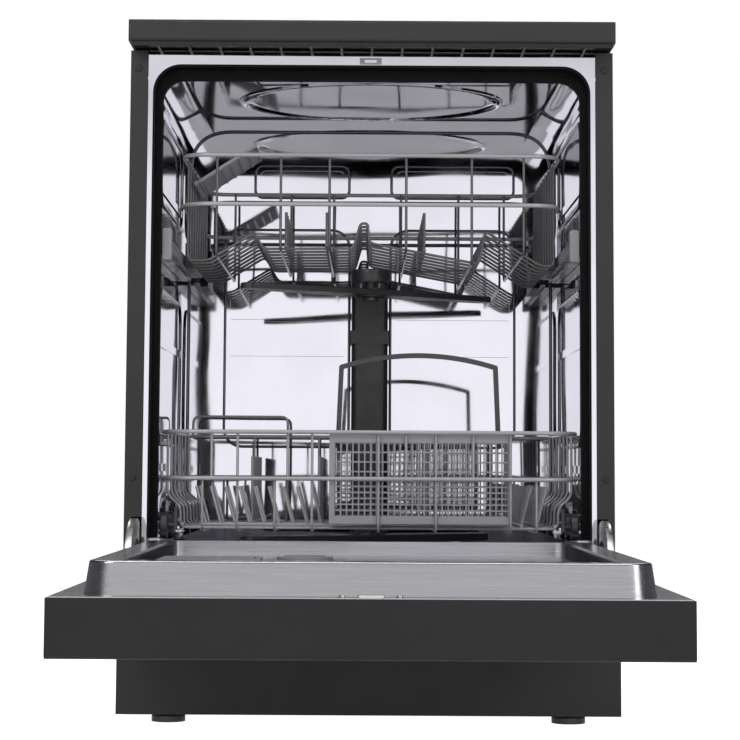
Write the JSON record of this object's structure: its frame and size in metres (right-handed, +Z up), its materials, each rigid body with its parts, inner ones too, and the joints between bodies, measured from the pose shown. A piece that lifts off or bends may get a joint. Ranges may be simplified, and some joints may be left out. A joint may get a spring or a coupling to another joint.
{
  "type": "dishwasher",
  "caption": "Dishwasher with a worktop, drop-down door, two pull-out wire baskets, spray arms, cutlery basket and dispenser.",
  "frame": {"origin": "on the floor, under the middle of the machine's outline with its door lying open", "axes": "+Z up, the door opens towards -Y, +X to the right seen from the front"},
  "size_m": [0.598, 1.243, 0.848],
  "materials": {
    "worktop_laminate": "laminate over board",
    "graphite_metal": "satin",
    "graphite_plastic": "satin",
    "stainless": "brushed",
    "tub_steel": "polished",
    "zinc": "galvanised",
    "black_rubber": "matte",
    "dark_plastic": "satin",
    "light_plastic": "matte",
    "grey_plastic": "satin",
    "white_plastic": "satin",
    "wire_coating": "gloss",
    "rail_steel": "satin",
    "dark_coating": "gloss",
    "smoked_glass": "gloss"
  },
  "bodies": {
    "cabinet": {"worktop": "worktop_laminate", "worktop_frame": "graphite_plastic", "side_panel_left": "graphite_metal", "side_panel_right": "graphite_metal", "rear_panel": "zinc", "base_tray": "dark_plastic", "kickplate": "graphite_metal", "cabinet_screws": "graphite_metal", "tub_wrap": "tub_steel", "tub_back": "tub_steel", "tub_floor": "tub_steel", "door_gasket": "black_rubber", "latch_striker": "light_plastic", "water_duct": "dark_plastic", "sump": "dark_plastic", "fine_filter": "stainless", "pumps": "dark_plastic", "water_softener": "white_plastic", "inlet_valve": "white_plastic", "rear_fittings": "dark_plastic", "hinge_brackets": "zinc", "upper_rails_fixed": "rail_steel"},
    "filter_cup": {"filter_cup": "grey_plastic"},
    "salt_cap": {"salt_cap": "light_plastic"},
    "lower_spray_arm": {"lower_spray_arm": "dark_plastic"},
    "foot_front_left": {"foot_front_left": "dark_plastic"},
    "foot_front_right": {"foot_front_right": "dark_plastic"},
    "feet_rear": {"feet_rear": "dark_plastic"},
    "door": {"door_outer_panel": "graphite_metal", "door_inner_panel": "stainless", "control_panel": "graphite_plastic", "display_window": "smoked_glass", "door_latch": "zinc", "door_hinge_arms": "zinc", "door_lip_seals": "black_rubber", "dispenser_body": "grey_plastic"},
    "power_button": {"power_button": "graphite_plastic"},
    "program_button": {"program_button": "graphite_plastic"},
    "start_button": {"start_button": "graphite_plastic"},
    "dispenser_lid": {"dispenser_lid": "grey_plastic"},
    "rinse_aid_cap": {"rinse_aid_cap": "grey_plastic"},
    "upper_rails": {"upper_rails_sliding": "rail_steel", "rail_end_caps": "light_plastic"},
    "upper_basket": {"upper_basket_rims": "wire_coating", "upper_basket_wires": "dark_coating", "basket_hangers": "dark_plastic", "feed_tube": "dark_plastic"},
    "upper_spray_arm": {"upper_spray_arm": "dark_plastic"},
    "cup_shelf_left": {"cup_shelf_left": "grey_plastic"},
    "lower_basket": {"lower_basket_rims": "wire_coating", "lower_basket_wires": "wire_coating", "lower_tines": "wire_coating", "wheel_carriers": "dark_plastic"},
    "folding_tines": {"folding_tines": "wire_coating"},
    "lower_wheels_front": {"lower_wheels_front": "dark_plastic"},
    "lower_wheels_middle": {"lower_wheels_middle": "dark_plastic"},
    "lower_wheels_rear": {"lower_wheels_rear": "dark_plastic"},
    "cutlery_basket": {"cutlery_basket": "light_plastic"},
    "cutlery_handle": {"cutlery_handle": "dark_plastic"}
  },
  "joints": [
    {"name": "door_swing", "type": "hinge", "parent": "cabinet", "child": "door", "pos_m": [0, 0.04175, 0.14875], "axis": [1, 0, 0], "range_deg": [-90, 0]},
    {"name": "upper_basket_slide", "type": "slide", "parent": "cabinet", "child": "upper_basket", "axis": [0, -1, 0], "range_m": [0, 0.4]},
    {"name": "upper_rail_slide", "type": "slide", "parent": "cabinet", "child": "upper_rails", "axis": [0, -1, 0], "range_m": [0, 0.2]},
    {"name": "lower_basket_slide", "type": "slide", "parent": "cabinet", "child": "lower_basket", "axis": [0, -1, 0], "range_m": [0, 0.5]},
    {"name": "lower_wheels_front_roll", "type": "hinge", "parent": "lower_basket", "child": "lower_wheels_front", "pos_m": [0.2535, 0.1245, 0.229], "axis": [1, 0, 0], "range_deg": [0, 1800]},
    {"name": "lower_wheels_middle_roll", "type": "hinge", "parent": "lower_basket", "child": "lower_wheels_middle", "pos_m": [0.2535, 0.2065, 0.229], "axis": [1, 0, 0], "range_deg": [0, 1800]},
    {"name": "lower_wheels_rear_roll", "type": "hinge", "parent": "lower_basket", "child": "lower_wheels_rear", "pos_m": [0.2535, 0.4985, 0.229], "axis": [1, 0, 0], "range_deg": [0, 1800]},
    {"name": "lower_arm_spin", "type": "hinge", "parent": "cabinet", "child": "lower_spray_arm", "pos_m": [0, 0.3485, 0.207], "axis": [0, 0, 1], "continuous": true},
    {"name": "upper_arm_spin", "type": "hinge", "parent": "upper_basket", "child": "upper_spray_arm", "pos_m": [0, 0.3405, 0.536], "axis": [0, 0, 1], "continuous": true},
    {"name": "filter_cup_lift", "type": "slide", "parent": "cabinet", "child": "filter_cup", "axis": [0, 0, 1], "range_m": [0, 0.015]},
    {"name": "salt_cap_turn", "type": "hinge", "parent": "cabinet", "child": "salt_cap", "pos_m": [-0.165, 0.4085, 0.192], "axis": [0, 0, 1], "range_deg": [0, 270]},
    {"name": "foot_front_left_level", "type": "slide", "parent": "cabinet", "child": "foot_front_left", "axis": [0, 0, -1], "range_m": [0, 0.04]},
    {"name": "foot_front_right_level", "type": "slide", "parent": "cabinet", "child": "foot_front_right", "axis": [0, 0, -1], "range_m": [0, 0.04]},
    {"name": "feet_rear_level", "type": "slide", "parent": "cabinet", "child": "feet_rear", "axis": [0, 0, -1], "range_m": [0, 0.04]},
    {"name": "power_button_press", "type": "slide", "parent": "door", "child": "power_button", "axis": [0, 0, 1], "range_m": [0, 0.0015], "stiffness_N_per_m": 600, "springref_m": -0.001},
    {"name": "program_button_press", "type": "slide", "parent": "door", "child": "program_button", "axis": [0, 0, 1], "range_m": [0, 0.0015], "stiffness_N_per_m": 600, "springref_m": -0.001},
    {"name": "start_button_press", "type": "slide", "parent": "door", "child": "start_button", "axis": [0, 0, 1], "range_m": [0, 0.0015], "stiffness_N_per_m": 600, "springref_m": -0.001},
    {"name": "dispenser_lid_open", "type": "hinge", "parent": "door", "child": "dispenser_lid", "pos_m": [-0.223, -0.2815, 0.202], "axis": [0, 1, 0], "range_deg": [-90, 0]},
    {"name": "rinse_aid_cap_turn", "type": "hinge", "parent": "door", "child": "rinse_aid_cap", "pos_m": [-0.069, -0.2815, 0.204], "axis": [0, 0, 1], "range_deg": [0, 90]},
    {"name": "cup_shelf_left_fold", "type": "hinge", "parent": "upper_basket", "child": "cup_shelf_left", "pos_m": [-0.22452, 0.2605, 0.66326], "axis": [0, -1, 0], "range_deg": [0, 45]},
    {"name": "folding_tines_fold", "type": "hinge", "parent": "lower_basket", "child": "folding_tines", "pos_m": [-0.065, 0.3905, 0.22945], "axis": [0, 1, 0], "range_deg": [0, 80]},
    {"name": "cutlery_basket_lift", "type": "slide", "parent": "lower_basket", "child": "cutlery_basket", "axis": [0, 0, 1], "range_m": [0, 0.08]},
    {"name": "cutlery_handle_fold", "type": "hinge", "parent": "cutlery_basket", "child": "cutlery_handle", "pos_m": [0.061, 0.1615, 0.336], "axis": [1, 0, 0], "range_deg": [-68, 0]}
  ],
  "couplings": [
    {"joint": "upper_rail_slide", "follows": "upper_basket_slide", "ratio": 0.5},
    {"joint": "lower_wheels_front_roll", "follows": "lower_basket_slide", "rad_per_m": 62.5},
    {"joint": "lower_wheels_middle_roll", "follows": "lower_basket_slide", "rad_per_m": 62.5},
    {"joint": "lower_wheels_rear_roll", "follows": "lower_basket_slide", "rad_per_m": 62.5}
  ]
}
